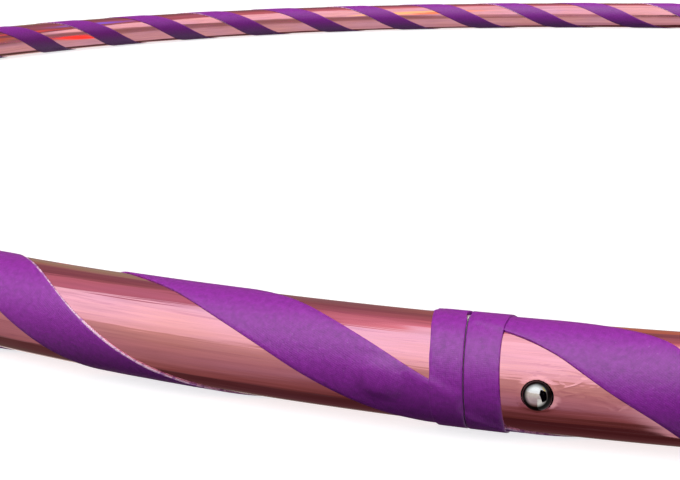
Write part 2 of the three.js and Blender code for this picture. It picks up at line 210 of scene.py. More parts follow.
class Layer:
    """A sheet of quads. Each corner has its place along the ring, its angle and its UV."""

    def __init__(self, along, angle, uv, closed=False, meets_seam=True):
        self.rows, self.columns = along.shape
        self.meets_seam = meets_seam
        self.along = along.ravel()
        self.angle = angle.ravel()
        self.uv = uv.reshape(-1, 2)
        self.bore_share = np.zeros(self.along.size)
        self.bore_height = np.zeros(self.along.size)
        self.bore_radius = 1.0
        index = np.arange(self.along.size).reshape(self.rows, self.columns)
        if closed:
            index = np.vstack([index, index[:1]])
        self.index = index
        corners = [index[:-1, :-1], index[:-1, 1:], index[1:, 1:], index[1:, :-1]]
        self.faces = np.stack(corners, axis=-1).reshape(-1, 4)

    def punch(self, along, radius, tube_radius, margin=1.2 * MM, steps=6):
        """Cuts a round hole at angle 0 and fills round it with rings of quads."""
        offset = np.stack([self.along - along, self.angle * tube_radius], axis=-1)
        inside = (np.hypot(*offset.T) < radius + margin)[self.index]
        rows = np.flatnonzero(inside.any(axis=1))
        across = np.flatnonzero(inside.any(axis=0))
        top, bottom = rows[0] - 1, rows[-1] + 1
        left, right = across[0] - 1, across[-1] + 1
        window = self.index[top:bottom + 1, left:right + 1]
        cleared = np.isin(self.faces, window).all(axis=1)
        self.faces = self.faces[~cleared]
        loop = np.concatenate([
            window[0, :-1], window[:-1, -1], window[-1, :0:-1], window[:0:-1, 0],
        ])
        direction = np.arctan2(offset[loop, 1], offset[loop, 0])
        rim_height = radius * np.sin(direction)
        rim_around = tube_radius * np.arcsin(rim_height / tube_radius)
        rim = np.stack([radius * np.cos(direction), rim_around], axis=-1)
        self.bore_radius = tube_radius
        ring = loop
        for step in range(1, steps + 1):
            share = 1 - (1 - step / steps) ** 1.5
            place = offset[loop] * (1 - share) + rim * share
            inner = np.arange(len(loop)) + self.along.size
            self.along = np.append(self.along, along + place[:, 0])
            self.angle = np.append(self.angle, place[:, 1] / tube_radius)
            self.bore_share = np.append(self.bore_share, np.full(len(loop), share))
            self.bore_height = np.append(self.bore_height, rim_height)
            shift = place - offset[loop]
            self.uv = np.vstack([self.uv, self.uv[loop] + shift])
            quads = [ring, np.roll(ring, -1), np.roll(inner, -1), inner]
            self.faces = np.vstack([self.faces, np.stack(quads, axis=-1)])
            ring = inner

    def angle_at(self, skin):
        """The corners' angles on one skin: the wall of a hole runs straight, not radially."""
        turn = np.arcsin(self.bore_height / skin) - np.arcsin(self.bore_height / self.bore_radius)
        return self.angle + self.bore_share * turn

    def solid(self, name, outer, inner):
        """A closed mesh between two radii, each a number or an array over the corners."""
        size = self.along.size
        skins = [np.broadcast_to(radius, size) for radius in (outer, inner)]
        along = skewed(self.along, self.angle) if self.meets_seam else self.along
        points = np.vstack([ring_points(along, self.angle_at(skin), skin) for skin in skins])
        sides = np.vstack([self.faces[:, [i, (i + 1) % 4]] for i in range(4)])
        keys = sides[:, 0].astype(np.int64) * size + sides[:, 1]
        opposite = sides[:, 1].astype(np.int64) * size + sides[:, 0]
        rim = sides[~np.isin(keys, opposite)]
        walls = np.stack([rim[:, 0], rim[:, 1], rim[:, 1] + size, rim[:, 0] + size], axis=-1)
        faces = np.vstack([self.faces[:, ::-1], self.faces + size, walls])
        return make_piece(name, points, faces, np.vstack([self.uv, self.uv]))


def make_piece(name, points, faces, uv):
    mesh = bpy.data.meshes.new(name)
    mesh.from_pydata(points.tolist(), [], faces.tolist())
    layer = mesh.uv_layers.new(name="flat")
    layer.data.foreach_set("uv", uv[faces.ravel()].astype(np.float32).ravel())
    mesh.polygons.foreach_set("use_smooth", np.ones(len(faces), bool))
    mesh.set_sharp_from_angle(angle=math.radians(50))
    mesh.update()
    piece = bpy.data.objects.new(name, mesh)
    bpy.context.scene.collection.objects.link(piece)
    return piece


def finish_piece(piece, material, body, node):
    piece.data.materials.append(material)
    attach(piece, body)
    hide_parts(node)
    return piece


# -------------------------------------------------------------------------------------------
# Strips that spiral round the tube.
NEAR_SEAM = 260 * MM  # where the rows of a strip lie closer together
FINE_STEP = 1 / 60
COARSE_STEP = 1 / 20


def strip_counts():
    """Half-turn counts of a strip's rows."""
    counts = np.arange(WINDING_COUNTS[0], WINDING_COUNTS[-1], FINE_STEP)
    along = winding_along(counts)
    far = (along > NEAR_SEAM) & (along < RING_LENGTH - NEAR_SEAM)
    sparse = np.arange(len(counts)) % round(COARSE_STEP / FINE_STEP) == 0
    return counts[~far | sparse]


class Strip:
    """A strip wound round the tube: its rows run along the ring from edge to edge."""

    def __init__(self, ahead, width, radius, shares, wobble=0.0, seed=0, path=winding_along):
        counts = strip_counts()
        slope = rise_per_radian(counts, path) / radius
        stretch = np.hypot(1, slope)
        middle = path(counts)
        around = -HALF_TURN * counts * radius
        left_edge = width / 2 + wobble * ripple(seed, 7, 20, 120)(around)
        right_edge = width / 2 + wobble * ripple(seed + 1, 7, 20, 120)(around)
        left = np.maximum(middle - left_edge * stretch, SEAM_GAP / 2)
        drawn_back = TAPE_DRAWN_BACK * seam_opening(-HALF_TURN * (counts - ahead))
        seam_end = RING_LENGTH - SEAM_GAP / 2 - drawn_back
        right = np.minimum(middle + right_edge * stretch, seam_end)
        kept = right - left > 0.3 * MM
        share = (np.asarray(shares) + 1) / 2
        along = left[kept, None] + (right - left)[kept, None] * share
        angle = np.repeat(-HALF_TURN * (counts[kept] - ahead)[:, None], len(share), axis=1)
        steps = np.diff(counts, prepend=counts[0]) * HALF_TURN * radius
        length = np.cumsum(steps * stretch)[kept, None]
        sideways = along - middle[kept, None]
        self.across = sideways / stretch[kept, None]
        self.length = length + sideways * (slope / stretch)[kept, None]
        self.edge = np.minimum(
            self.across + left_edge[kept, None], right_edge[kept, None] - self.across
        )
        self.flat_length = float(length[-1, 0] - length[0, 0])
        self.sheet_along = along
        self.sheet_angle = angle


def strip_shares(edge_steps, inner_columns, width):
    """Where the columns of a strip lie, from -1 to 1, closer together at the edges."""
    edges = [1 - 2 * step / width for step in edge_steps]
    inner = np.linspace(-edges[-1], edges[-1], inner_columns)
    return np.concatenate([[-x for x in edges[:-1]], inner, edges[:-1][::-1]])


# Mirror film.
FILM_SHARES = np.linspace(-1, 1, 19)


def film_waves(along, around):
    """Slight waves in the film, mostly long ridges that follow the tube."""
    lengthwise = ripple(21, 6, 60, 220)
    slanted = ripple(22, 5, 20, 70)
    patches = ripple(23, 4, 4, 14)
    ridges = lengthwise(around + 0.05 * along) * (0.6 + 0.4 * patches(along))
    return 0.007 * MM * ridges + 0.009 * MM * slanted(around - 0.12 * along)


LIP_HEIGHT = 0.10 * MM
LIP_REACH = 0.55 * MM


def hole_lip(along, around):
    """The film's rim, curled up round the button's hole."""
    distance = np.hypot(along - BUTTON_ALONG, around)
    return LIP_HEIGHT * (1 - smooth_step((distance - BUTTON_HOLE_RADIUS) / LIP_REACH))


def make_film_strip(name, node, ahead, holes):
    strip = Strip(ahead, FILM_WIDTH, FILM_OUTER, FILM_SHARES)
    uv = np.stack([strip.sheet_along, strip.sheet_angle * FILM_OUTER], axis=-1)
    layer = Layer(strip.sheet_along, strip.sheet_angle, uv)
    for along, radius in holes:
        layer.punch(along, radius, FILM_OUTER)
    around = layer.angle * FILM_OUTER
    outer = FILM_OUTER + film_waves(layer.along, around) + hole_lip(layer.along, around)
    piece = layer.solid(name, outer, outer - FILM_THICKNESS)
    finish_piece(piece, film_material(), "hoop", node)
    return piece


# Cloth grip tape.
GRIP_PATHS = [winding_along, straying_along]
EDGE_ROUND = 0.16 * MM
TAPE_SHARES = strip_shares([0, 0.05 * MM, 0.16 * MM], 15, TAPE_WIDTH)
BUMP_FLAT = 2.0 * MM
BUMP_END = 4.6 * MM
BUMP_HEIGHT = 0.72 * MM


def edge_drop(edge):
    """How far a tape's face falls away at its cut edges."""
    return 0.14 * MM * (1 - np.clip(edge / EDGE_ROUND, 0, 1)) ** 2


def rivet_bump(along, angle):
    """The tape's rise over the rivet's head."""
    from_seam = along - RING_LENGTH - RIVET_ALONG
    distance = np.hypot(from_seam, angle * TAPE_OUTER)
    fall = smooth_step((distance - BUMP_FLAT) / (BUMP_END - BUMP_FLAT))
    return BUMP_HEIGHT * (1 - fall)


def make_grip_strip(name, node, ahead, seed, over_rivet, edge):
    path = GRIP_PATHS[ahead]
    strip = Strip(ahead, TAPE_WIDTH, TAPE_OUTER, TAPE_SHARES, 0.1 * MM, seed, path)
    uv = np.stack([strip.length, strip.across], axis=-1)
    layer = Layer(strip.sheet_along, strip.sheet_angle, uv)
    uneven = ripple(seed + 5, 5, 40, 160)(layer.uv[:, 0])
    uneven = uneven * ripple(seed + 6, 3, 60, 110)(layer.uv[:, 1])
    lift = np.zeros(layer.along.size)
    if over_rivet:
        lift = rivet_bump(layer.along, nearest_half_turn(layer.angle))
    outer = TAPE_OUTER + lift + 0.012 * MM * uneven - edge_drop(strip.edge.ravel())
    inner = TAPE_OUTER + lift - TAPE_THICKNESS
    piece = layer.solid(name, outer, inner)
    finish_piece(piece, tape_material(edge), "hoop", node)
    return piece


# The bands either side of the seam.
BAND_OVERLAP = math.radians(42)
BAND_START = math.pi  # on the hidden, inner side of the ring
SAG_WIDTH = 0.9 * MM


def tape_cover(along, angle):
    """How far grip tape lies under a place: 1 on the tape, 0 well clear of it."""
    best = np.full(along.shape, 1e9)
    from_start = np.where(along < 0, along + RING_LENGTH, along)
    for ahead in (0, 1):
        first = ahead - angle / HALF_TURN
        for turns in range(-1, 26):
            count = first + 2 * turns
            real = (count >= WINDING_COUNTS[0]) & (count <= WINDING_COUNTS[-1])
            count = np.clip(count, WINDING_COUNTS[0], WINDING_COUNTS[-1])
            stretch = np.hypot(1, rise_per_radian(count) / TAPE_OUTER)
            distance = np.abs(from_start - GRIP_PATHS[ahead](count)) / stretch
            best = np.minimum(best, np.where(real, distance, 1e9))
    return smooth_step((TAPE_WIDTH / 2 + SAG_WIDTH - best) / SAG_WIDTH)


def band_edge(angle, side):
    """The outer edge of the band on one side of the seam."""
    if side < 0:
        return harmonics(angle, -6.06, 0.34, -1.36, 0.19, 0.56)
    return harmonics(angle, 6.68, -0.49, -0.55, 0.24, -0.05)


def seam_edge(angle, side):
    """The edge of a band where the knife cut it, along the seam."""
    half_gap = 0.10 + (0.42 if side < 0 else 0.12) * seam_opening(angle)
    uneven = 0.03 * MM * ripple(61, 4, 0.3, 0.9)(angle)
    return seam_line(angle) + uneven + side * half_gap * MM


def band_layer(side, seed):
    """side is -1 for the band left of the seam and 1 for the band right of it."""
    rows = 150
    angle = BAND_START + np.linspace(0, 2 * math.pi + BAND_OVERLAP, rows)[:, None]
    shares = np.array([0, 0.012, 0.035, 0.12, 0.25, 0.38, 0.5, 0.62, 0.75, 0.88, 0.965, 0.988, 1])
    inner_edge = seam_edge(angle, side)
    outer_edge = band_edge(angle, side) + 0.03 * MM * ripple(seed, 5, 0.4, 1.8)(angle)
    along = inner_edge + (outer_edge - inner_edge) * shares
    angle = np.repeat(angle, len(shares), axis=1)
    uv = np.stack([angle * BAND_OUTER, along], axis=-1)
    if side < 0:
        along, angle, uv = along[:, ::-1], angle[:, ::-1], uv[:, ::-1]
    return Layer(along[::-1], angle[::-1], uv[::-1], meets_seam=False)


def band_radius(layer):
    cover = tape_cover(layer.along, layer.angle)
    sagged = FILM_OUTER + TAPE_THICKNESS + 0.04 * MM
    radius = sagged + (BAND_OUTER - sagged) * cover
    past_start = layer.angle - (BAND_START + 2 * math.pi)
    second_turn = smooth_step((past_start + 0.09) / 0.09)
    return radius + TAPE_THICKNESS * second_turn


def make_seam_band(name, node, side, seed):
    layer = band_layer(side, seed)
    from_seam_edge = np.abs(layer.along - seam_edge(layer.angle, side))
    from_outer_edge = np.abs(layer.along - band_edge(layer.angle, side))
    edges = np.minimum(from_seam_edge, from_outer_edge)
    radius = band_radius(layer)
    uneven = 0.012 * MM * ripple(seed + 3, 5, 0.4, 1.6)(layer.angle)
    outer = radius + uneven - edge_drop(edges)
    piece = layer.solid(name, outer, radius - TAPE_THICKNESS)
    finish_piece(piece, tape_material("plain_edge"), "hoop", node)
    # Both bands were cut from one wrap of tape, so each is a part of its width.
    return piece


# -------------------------------------------------------------------------------------------
# The tube and the insert inside the seam.

def pipe_layer(start, end, fine_until, sides):
    """A closed sheet round the tube between two places along the ring."""
    fine = np.arange(start, end, 1.2 * MM)
    coarse = np.arange(len(fine)) % 5 == 0
    nearness = np.minimum(np.abs(fine), np.abs(RING_LENGTH - fine))
    along = np.append(fine[(nearness < fine_until) | coarse], end)
    angle = math.pi - np.arange(sides) * 2 * math.pi / sides
    grid_along = np.repeat(along[None, :], sides, axis=0)
    grid_angle = np.repeat(angle[:, None], len(along), axis=1)
    uv = np.stack([grid_along, grid_angle * TUBE_OUTER], axis=-1)
    return Layer(grid_along, grid_angle, uv, closed=True, meets_seam=start > 0)


def make_tube():
    layer = pipe_layer(SEAM_GAP / 2, RING_LENGTH - SEAM_GAP / 2, 30 * MM, 64)
    layer.punch(BUTTON_ALONG, BUTTON_HOLE_RADIUS, TUBE_OUTER)
    layer.punch(RING_LENGTH + RIVET_ALONG, RIVET_HOLE_RADIUS, TUBE_OUTER)
    piece = layer.solid("tube", TUBE_OUTER, TUBE_INNER)
    material = plastic_material("tube_plastic", 0.86)
    return finish_piece(piece, material, "hoop", "hoop_tube")


def make_insert():
    layer = pipe_layer(-INSERT_HALF_LENGTH, INSERT_HALF_LENGTH, 60 * MM, 64)
    layer.punch(BUTTON_ALONG, BUTTON_HOLE_RADIUS, INSERT_OUTER)
    layer.punch(RIVET_ALONG, RIVET_HOLE_RADIUS, INSERT_OUTER)
    piece = layer.solid("insert", INSERT_OUTER, INSERT_INNER)
    material = plastic_material("insert_plastic", 0.8)
    return finish_piece(piece, material, "hoop", "connector_insert")


# -------------------------------------------------------------------------------------------
# The snap button: a chromed dome on a neck, turned about the button's axis.

def button_profile():
    """[distance from the axis, distance from the tube's centreline], from the inside out."""
    low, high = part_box("snap_button")
    radius = (high.x - low.x) / 2
    top = -low.y - RING_RADIUS
    foot = -high.y - RING_RADIUS
    shoulder = top - 1.9 * MM
    underside = [[0, foot], [1.6 * MM, foot]]
    underside += [[1.9 * MM, foot + 0.1 * MM], [2.0 * MM, foot + 0.3 * MM]]
    neck = [[2.0 * MM, foot + 0.5 * MM], [1.3 * MM, foot + 0.5 * MM], [1.3 * MM, foot + 1.1 * MM]]
    skirt = [[radius - 0.1 * MM, foot + 1.1 * MM], [radius, foot + 1.2 * MM]]
    skirt += [[radius, foot + 1.2 * MM + t * (shoulder - foot - 1.2 * MM)] for t in (0.33, 0.67)]
    dome = []
    for turn in np.linspace(0, math.pi / 2, 25):
        dome.append([radius * math.cos(turn), shoulder + (top - shoulder) * math.sin(turn) ** 0.92])
    dome[-1][0] = 0
    return underside + neck + skirt + dome


def make_button():
    sides = 72
    profile = np.array(button_profile())
    turn = np.arange(sides) * 2 * math.pi / sides
    rings = []
    for reach, height in profile[1:-1]:
        x = reach * np.cos(turn)
        z = RING_HEIGHT + reach * np.sin(turn)
        rings.append(np.stack([x, np.full(sides, -RING_RADIUS - height), z], axis=-1))
    foot, top = [[0, -RING_RADIUS - height, RING_HEIGHT] for height in profile[[0, -1], 1]]
    points = np.vstack([*rings, foot, top])
    index = np.arange(len(rings) * sides).reshape(len(rings), sides)
    wrapped = np.hstack([index, index[:, :1]])
    corners = [wrapped[:-1, :-1], wrapped[:-1, 1:], wrapped[1:, 1:], wrapped[1:, :-1]]
    faces = np.stack(corners, axis=-1).reshape(-1, 4).tolist()
    last = len(points) - 1
    for i in range(sides):
        faces.append([wrapped[0, i + 1], wrapped[0, i], last - 1])
        faces.append([wrapped[-1, i], wrapped[-1, i + 1], last])
    mesh = bpy.data.meshes.new("button")
    mesh.from_pydata(points.tolist(), [], faces)
    mesh.polygons.foreach_set("use_smooth", np.ones(len(faces), bool))
    mesh.set_sharp_from_angle(angle=math.radians(50))
    piece = bpy.data.objects.new("button", mesh)
    bpy.context.scene.collection.objects.link(piece)
    return finish_piece(piece, chrome_painted_shade_material(), "button", "snap_button")


# -------------------------------------------------------------------------------------------
# Materials.
made_materials = {}


def once(build):
    """Keeps each material that a function makes, so pieces share it."""
    def kept(*key):
        name = (build.__name__, *key)
        if name not in made_materials:
            made_materials[name] = build(*key)
        return made_materials[name]
    return kept


def add(tree, kind, sockets=None, **settings):
    """Adds a node. Values of sockets are numbers, colours or the sockets that feed them."""
    node = tree.nodes.new(kind)
    for name, value in settings.items():
        setattr(node, name, value)
    for key, value in (sockets or {}).items():
        if isinstance(value, bpy.types.NodeSocket):
            tree.links.new(value, node.inputs[key])
        else:
            node.inputs[key].default_value = value
    return node


def start_material(name):
    material = bpy.data.materials.new(name)
    material.use_nodes = True
    tree = material.node_tree
    return material, tree, tree.nodes["Principled BSDF"]


def math_node(tree, operation, first, second=0.0):
    return add(tree, "ShaderNodeMath", {0: first, 1: second}, operation=operation).outputs[0]


def mix_colour(tree, factor, first, second, blend_type="MIX"):
    sockets = {0: factor, 6: first, 7: second}
    mix = add(tree, "ShaderNodeMix", sockets, data_type="RGBA", blend_type=blend_type)
    return mix.outputs[2]


def vector_node(tree, operation, first, second):
    sockets = {0: first, 1: second}
    return add(tree, "ShaderNodeVectorMath", sockets, operation=operation).outputs[0]


def length_node(tree, vector):
    node = add(tree, "ShaderNodeVectorMath", {0: vector}, operation="LENGTH")
    return node.outputs["Value"]


def ramp(tree, factor, stops):
    node = add(tree, "ShaderNodeValToRGB", {0: factor})
    elements = node.color_ramp.elements
    while len(elements) < len(stops):
        elements.new(0.5)
    for element, (position, colour) in zip(elements, stops):
        element.position = position
        element.color = (*colour, 1)
    return node.outputs[0]


def stretched(tree, scale, source="UV"):
    """Surface coordinates in metres, times a scale along each axis."""
    coordinates = add(tree, "ShaderNodeTexCoord").outputs[source]
    return vector_node(tree, "MULTIPLY", coordinates, scale)


def noise(tree, vector, detail=2.0, roughness=0.5, distortion=0.0):
    sockets = {
        "Vector": vector, "Scale": 1.0, "Detail": detail, "Roughness": roughness,
        "Distortion": distortion,
    }
    return add(tree, "ShaderNodeTexNoise", sockets).outputs["Fac"]


def bump(tree, height, distance, strength=1.0, normal=None):
    sockets = {"Height": height, "Distance": distance, "Strength": strength}
    if normal is not None:
        sockets["Normal"] = normal
    return add(tree, "ShaderNodeBump", sockets).outputs[0]


FILM_COLOUR = (0.94, 0.44, 0.505)
FILM_WARM = (0.95, 0.44, 0.455)
FILM_COOL = (0.90, 0.44, 0.56)
CREASES_FROM_BUTTON = 9 * MM  # creases in the film to the right of the button
CREASES_UP = 2.6 * MM
CREASES_REACH = 7 * MM
CREASES_SHAPE = (0.6, 1.6, 1)  # longer along the ring than round the tube


@once
def film_material():
    material, tree, shader = start_material("rose_gold_film")
    tint = noise(tree, stretched(tree, (22, 130, 1)), detail=2)
    colour = ramp(tree, tint, [(0.34, FILM_WARM), (0.5, FILM_COLOUR), (0.64, FILM_COOL)])
    smears = noise(tree, stretched(tree, (45, 900, 1)), detail=3, roughness=0.6)
    smears = add(tree, "ShaderNodeMapRange", {0: smears, 1: 0.35, 2: 0.68, 3: 0.90, 4: 1.03})
    colour = mix_colour(tree, 1.0, colour, smears.outputs[0], "MULTIPLY")
    tree.links.new(colour, shader.inputs["Base Color"])
    shader.inputs["Metallic"].default_value = 1
    haze = noise(tree, stretched(tree, (60, 500, 1)), detail=3)
    roughness = add(tree, "ShaderNodeMapRange", {0: haze, 1: 0.3, 2: 0.75, 3: 0.03, 4: 0.09})
    tree.links.new(roughness.outputs[0], shader.inputs["Roughness"])
    streaks = noise(tree, stretched(tree, (14, 340, 1)), detail=4, roughness=0.5, distortion=0.4)
    fine = noise(tree, stretched(tree, (120, 190, 1)), detail=2)
    normal = bump(tree, streaks, 0.14 * MM, 1.0)
    normal = bump(tree, fine, 0.02 * MM, 0.5, normal)
    normal = bump(tree, film_creases(tree), 0.07 * MM, 0.7, normal)
    tree.links.new(normal, shader.inputs["Normal"])
    return material


def film_creases(tree):
    """Short sharp creases near the button, where a thumb pressed the film."""
    middle = (BUTTON_ALONG + CREASES_FROM_BUTTON, CREASES_UP, 0)
    place = add(tree, "ShaderNodeTexCoord").outputs["UV"]
    offset = vector_node(tree, "SUBTRACT", place, middle)
    distance = length_node(tree, vector_node(tree, "MULTIPLY", offset, CREASES_SHAPE))
    sockets = {0: distance, 1: CREASES_REACH, 2: 0.3 * CREASES_REACH}
    near = add(tree, "ShaderNodeMapRange", sockets).outputs[0]
    folds = noise(tree, stretched(tree, (170, 420, 1)), detail=1, distortion=0.8)
    ridge = math_node(tree, "ABSOLUTE", math_node(tree, "SUBTRACT", folds, 0.5))
    ridge = add(tree, "ShaderNodeMapRange", {0: ridge, 1: 0.0, 2: 0.14, 3: 1.0, 4: 0.0}).outputs[0]
    return math_node(tree, "MULTIPLY", near, ridge)


TAPE_LIGHT = (0.39, 0.022, 0.485)
TAPE_MIDDLE = (0.335, 0.014, 0.42)
TAPE_DARK = (0.27, 0.008, 0.35)
EDGE_LINE_PINK = (0.95, 0.62, 0.80)
THREADS_PER_METRE = 2900


@once
def tape_material(edge):
    material, tree, shader = start_material(f"purple_cloth_{edge}")
    flat = stretched(tree, (1, 1, 1))
    weave = weave_height(tree)
    blotches = noise(tree, stretched(tree, (900, 900, 1)), detail=5, roughness=0.7)
    colour = ramp(tree, blotches, [(0.36, TAPE_DARK), (0.5, TAPE_MIDDLE), (0.64, TAPE_LIGHT)])
    # Painted shade: the weave's hollows are painted a little darker and its tops a little lighter.
    weave_shade = add(tree, "ShaderNodeMapRange", {0: weave, 1: 0.0, 2: 0.8, 3: 0.95, 4: 1.02})
    colour = mix_colour(tree, 1.0, colour, weave_shade.outputs[0], "MULTIPLY")
    flecks = noise(tree, stretched(tree, (2600, 1500, 1)), detail=1)
    flecks = add(tree, "ShaderNodeMapRange", {0: flecks, 1: 0.70, 2: 0.78, 3: 0, 4: 0.4}).outputs[0]
    colour = mix_colour(tree, flecks, colour, (0.5, 0.2, 0.56, 1))
    if edge == "edge_thread":
        colour = mix_colour(tree, edge_thread(tree, flat), colour, (*EDGE_LINE_PINK, 1))
    tree.links.new(colour, shader.inputs["Base Color"])
    shader.inputs["Roughness"].default_value = 0.44
    shader.inputs["Specular IOR Level"].default_value = 0.85
    rough_cloth = bump(tree, blotches, 0.16 * MM, 0.8)
    tree.links.new(bump(tree, weave, 0.06 * MM, 0.25, rough_cloth), shader.inputs["Normal"])
    return material


def weave_height(tree):
    """A plain weave: each thread passes over one crossing thread and under the next."""
    flat = add(tree, "ShaderNodeSeparateXYZ", {0: stretched(tree, (1, 1, 1))})
    rate = math.pi * THREADS_PER_METRE
    waves = []
    for axis in (0, 1):
        turned = math_node(tree, "MULTIPLY", flat.outputs[axis], rate)
        waves.append(math_node(tree, "SINE", turned))
    product = math_node(tree, "MULTIPLY", waves[0], waves[1])
    return math_node(tree, "ABSOLUTE", product)


def edge_thread(tree, flat):
    """A mask for a pale pink dotted line along the tape's right-hand edge, broken in places."""
    across = add(tree, "ShaderNodeSeparateXYZ", {0: flat}).outputs[1]
    edge = TAPE_WIDTH / 2
    sockets = {0: across, 1: edge - 0.38 * MM, 2: edge - 0.26 * MM, 3: 0, 4: 1}
    line = add(tree, "ShaderNodeMapRange", sockets).outputs[0]
    dots = noise(tree, stretched(tree, (900, 60, 1)), detail=2)
    dots = add(tree, "ShaderNodeMapRange", {0: dots, 1: 0.36, 2: 0.52, 3: 0.25, 4: 1}).outputs[0]
    return math_node(tree, "MULTIPLY", line, dots)


@once
def plastic_material(name, lightness):
    material, tree, shader = start_material(name)
    cloud = noise(tree, stretched(tree, (90, 90, 1)), detail=3)
    low = (lightness * 0.93, lightness * 0.92, lightness * 0.90)
    colour = ramp(tree, cloud, [(0.3, low), (0.7, (lightness, lightness * 0.99, lightness * 0.97))])
    tree.links.new(colour, shader.inputs["Base Color"])
    shader.inputs["Roughness"].default_value = 0.38
    shader.inputs["Subsurface Weight"].default_value = 0.2
    shader.inputs["Subsurface Radius"].default_value = (0.002, 0.002, 0.002)
    drawn = noise(tree, stretched(tree, (8, 900, 1)), detail=2)
    tree.links.new(bump(tree, drawn, 0.03 * MM, 0.4), shader.inputs["Normal"])
    return material


def metal_material(name, colour, roughness, grain):
    """Plain metal with fine grain lines and slightly uneven gloss."""
    material, tree, shader = start_material(name)
    place = stretched(tree, grain, "Object")
    lines = noise(tree, place, detail=3)
    darker = tuple(c * 0.85 for c in colour)
    tree.links.new(ramp(tree, lines, [(0.3, darker), (0.7, colour)]), shader.inputs["Base Color"])
    shader.inputs["Metallic"].default_value = 1
    gloss = add(tree, "ShaderNodeMapRange", {0: lines, 3: roughness * 0.7, 4: roughness * 1.4})
    tree.links.new(gloss.outputs[0], shader.inputs["Roughness"])
    tree.links.new(bump(tree, lines, 0.02 * MM, 0.4), shader.inputs["Normal"])
    return material


CHROME = (0.93, 0.98, 0.96)
# Painted shade on the dome: a black ring painted round its sides, its bright centre a little above the
# axis.
DOME_SHADE_START = 1.35 * MM
DOME_SHADE_END = 1.95 * MM
DOME_SHADE_RISE = 0.45 * MM  # of the bright patch's centre, above the button's axis: the painted shade's centre is raised to place the painted highlight
DOME_PAINTED_SHADE_BLACK = (0.012, 0.012, 0.012, 1)


@once
def chrome_painted_shade_material():
    """Chrome with painted shade: bright on top, painted black round the sides for the dark reflections
    there.
    """
    material = metal_material("chrome_painted_shade", CHROME, 0.05, (700, 700, 700))
    tree = material.node_tree
    shader = tree.nodes["Principled BSDF"]
    bright = shader.inputs["Base Color"].links[0].from_socket
    centre = (0, 0, -RING_HEIGHT - DOME_SHADE_RISE)
    place = add(tree, "ShaderNodeTexCoord").outputs["Object"]
    place = vector_node(tree, "ADD", place, centre)
    reach = length_node(tree, vector_node(tree, "MULTIPLY", place, (1, 0, 1)))
    sockets = {0: reach, 1: DOME_SHADE_START, 2: DOME_SHADE_END}
    shade = add(tree, "ShaderNodeMapRange", sockets).outputs[0]
    # Painted shade: the colour turns black away from the bright centre, for the dark reflections round
    # the dome's sides.
    colour = mix_colour(tree, shade, bright, DOME_PAINTED_SHADE_BLACK)
    tree.links.new(colour, shader.inputs["Base Color"])
    return material


def make_leaf_spring():
    """The spring keeps its CAD shape and stays with the hoop, against the insert."""
    piece = bpy.data.objects.new("leaf_spring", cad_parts["button_spring"].data.copy())
    bpy.context.scene.collection.objects.link(piece)
    piece.data.materials.clear()
    steel = metal_material("spring_steel", (0.50, 0.51, 0.53), 0.28, (200, 4000, 4000))
    finish_piece(piece, steel, "hoop", "button_spring")
    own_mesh(piece)


def paint_cad_nodes():
    """The hardware that keeps its CAD shape gets its metals."""
    aluminium = metal_material("rivet_aluminium", (0.75, 0.76, 0.77), 0.32, (2500, 2500, 2500))
    mandrel = metal_material("mandrel_steel", (0.45, 0.45, 0.47), 0.35, (3000, 3000, 3000))
    for node, material in (("rivet_body", aluminium), ("rivet_mandrel", mandrel)):
        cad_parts[node].data.materials.clear()
        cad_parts[node].data.materials.append(material)


# -------------------------------------------------------------------------------------------
# Studio: floor, light all round, and the camera.

def sky_stops(colours):
    """Ramp stops from elevations in degrees."""
    return [((math.sin(math.radians(e)) + 1) / 2, colour) for e, colour in colours]


# What a mirror sees, by elevation in degrees: in front of the hoop, behind it, at its sides and
# far to the right. Some of these colours are rounded samples of what the real film reflects,
# divided by the film's colour; the others and the lamps were adjusted to match.
FRONT_SKY = sky_stops([
    (-90, (0.06, 0.02, 0.02)), (-74, (0.10, 0.04, 0.03)), (-58, (0.22, 0.11, 0.10)),
    (-40, (0.36, 0.25, 0.27)), (-20, (0.43, 0.31, 0.32)), (-6, (0.52, 0.42, 0.40)),
    (4, (0.60, 0.51, 0.46)), (9, (0.62, 0.52, 0.47)), (13, (0.90, 0.85, 0.86)),
    (22, (0.96, 0.94, 0.97)), (30, (1.05, 1.06, 1.09)), (75, (1.08, 1.10, 1.14)),
])
BACK_SKY = sky_stops([
    (-90, (0.06, 0.02, 0.02)), (-50, (0.10, 0.05, 0.05)), (-34, (0.12, 0.10, 0.08)),
    (-29, (0.80, 0.78, 0.72)), (-8, (0.80, 0.78, 0.70)), (-2, (0.16, 0.12, 0.10)),
    (6, (0.30, 0.20, 0.18)), (37, (0.27, 0.14, 0.16)), (46, (0.35, 0.19, 0.20)),
    (56, (0.44, 0.21, 0.25)), (66, (0.72, 0.38, 0.40)), (71, (0.86, 0.46, 0.46)),
    (76, (1.0, 0.94, 0.96)),
])
